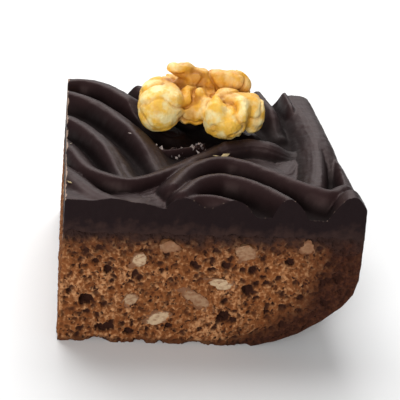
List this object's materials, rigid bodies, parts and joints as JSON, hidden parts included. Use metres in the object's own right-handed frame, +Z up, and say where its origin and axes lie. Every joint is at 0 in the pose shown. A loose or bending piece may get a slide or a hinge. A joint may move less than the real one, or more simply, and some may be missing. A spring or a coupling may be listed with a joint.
{
  "type": "chocolate nut brownie",
  "caption": "Square nut brownie with a tray-baked side, open crumb and nut pieces at the cuts, combed dark chocolate icing and a walnut half on top.",
  "frame": {"origin": "middle of the bounding box's underside, on the table", "axes": "+Z up from the table, +X towards the side that was baked against the tray, -Y out of the cut side that the picture shows"},
  "size_m": [0.0656, 0.06, 0.049],
  "materials": {
    "cake": "matte open crumb",
    "icing": "satin set chocolate",
    "walnut": "dry kernel skin",
    "nut_piece": "cut nut"
  },
  "bodies": {
    "root": {"cake": "cake", "icing": "icing", "walnut": "walnut", "nut_piece_01": "nut_piece", "nut_piece_02": "nut_piece", "nut_piece_03": "nut_piece", "nut_piece_04": "nut_piece", "nut_piece_05": "nut_piece", "nut_piece_06": "nut_piece", "nut_piece_07": "nut_piece", "nut_piece_08": "nut_piece", "nut_piece_09": "nut_piece", "nut_piece_10": "nut_piece", "nut_piece_11": "nut_piece", "nut_piece_12": "nut_piece", "nut_piece_13": "nut_piece", "nut_piece_14": "nut_piece", "nut_piece_15": "nut_piece", "nut_piece_16": "nut_piece", "nut_piece_17": "nut_piece", "nut_piece_18": "nut_piece", "nut_piece_19": "nut_piece", "nut_piece_20": "nut_piece"}
  },
  "joints": []
}
